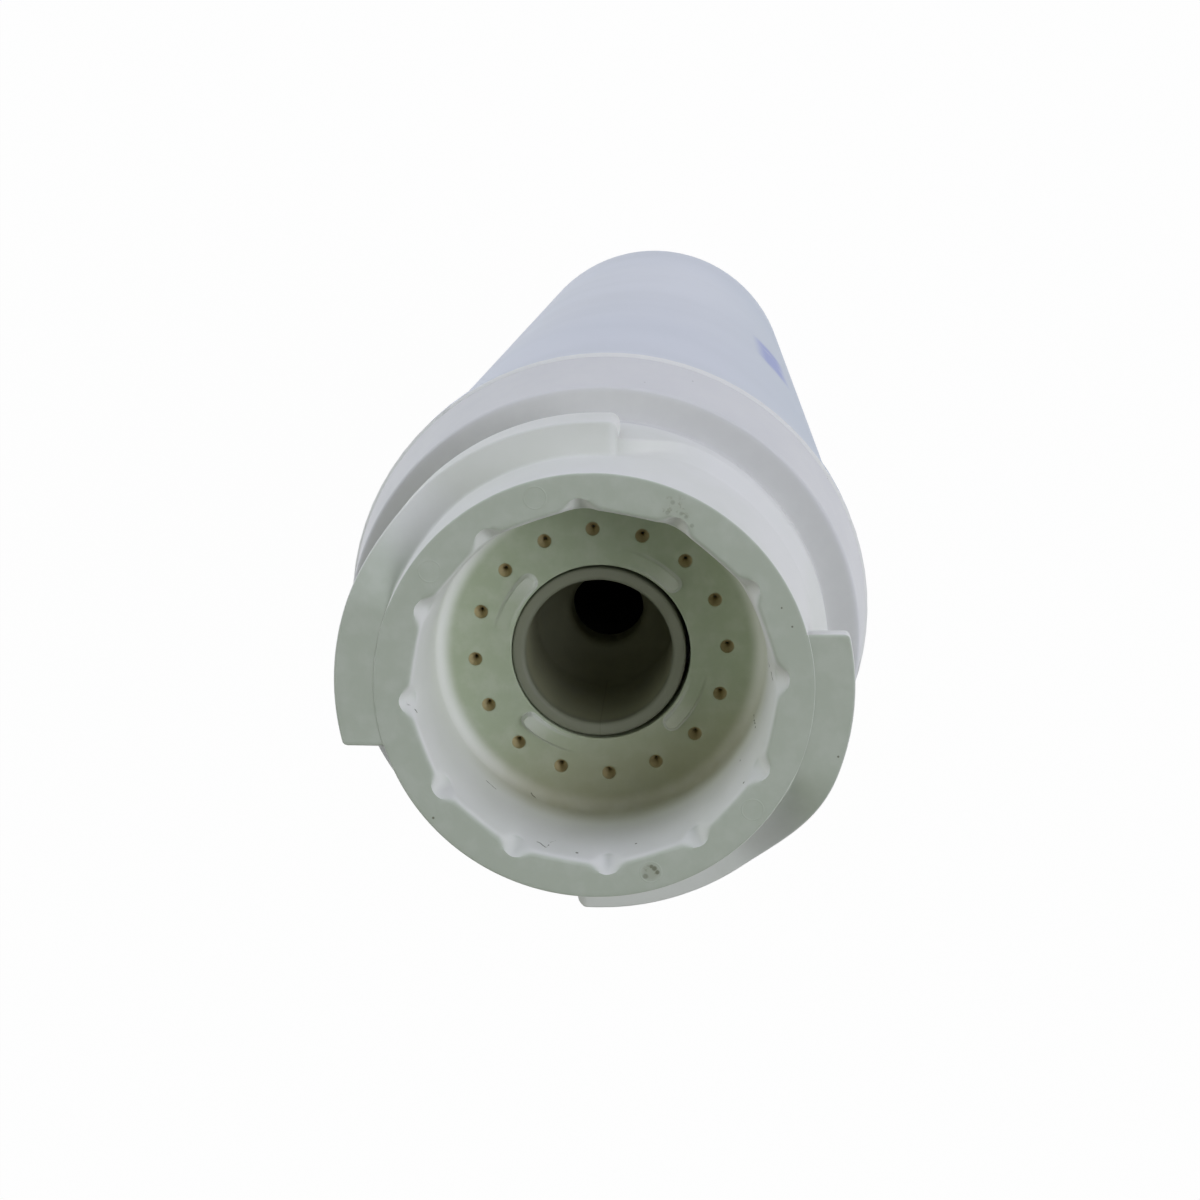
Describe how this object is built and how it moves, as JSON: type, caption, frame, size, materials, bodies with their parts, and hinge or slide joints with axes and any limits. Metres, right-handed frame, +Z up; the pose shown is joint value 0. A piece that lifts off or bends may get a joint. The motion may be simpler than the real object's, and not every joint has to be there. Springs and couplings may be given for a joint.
{
  "type": "fridge water filter cartridge",
  "caption": "Upright sealed water filter cartridge: smooth tube body, tapered collar, twist-lock neck, lobed inlet socket with a ring of small holes and a central outlet tube.",
  "frame": {"origin": "middle of the ring foot at the closed end, on the floor", "axes": "+Z up along the cartridge towards its neck and outlet; +X and +Y are right and up in the picture, seen looking down on the neck"},
  "size_m": [0.0626, 0.0626, 0.27],
  "materials": {
    "sump_plastic": "semi-gloss bluish white",
    "cap_plastic": "satin off-white",
    "tube_plastic": "satin off-white",
    "end_cap_plastic": "satin off-white",
    "seal_rubber": "satin black",
    "bonded_carbon": "matt grainy black",
    "non_woven": "matt fibrous white",
    "hot_melt": "waxy amber"
  },
  "bodies": {
    "root": {"housing_sump": "sump_plastic", "head_cap": "cap_plastic", "outlet_end_cap": "tube_plastic", "closed_end_cap": "end_cap_plastic", "spigot_o_ring": "seal_rubber", "carbon_block": "bonded_carbon", "prefilter_wrap": "non_woven", "upper_bond": "hot_melt", "lower_bond": "hot_melt"}
  },
  "joints": []
}
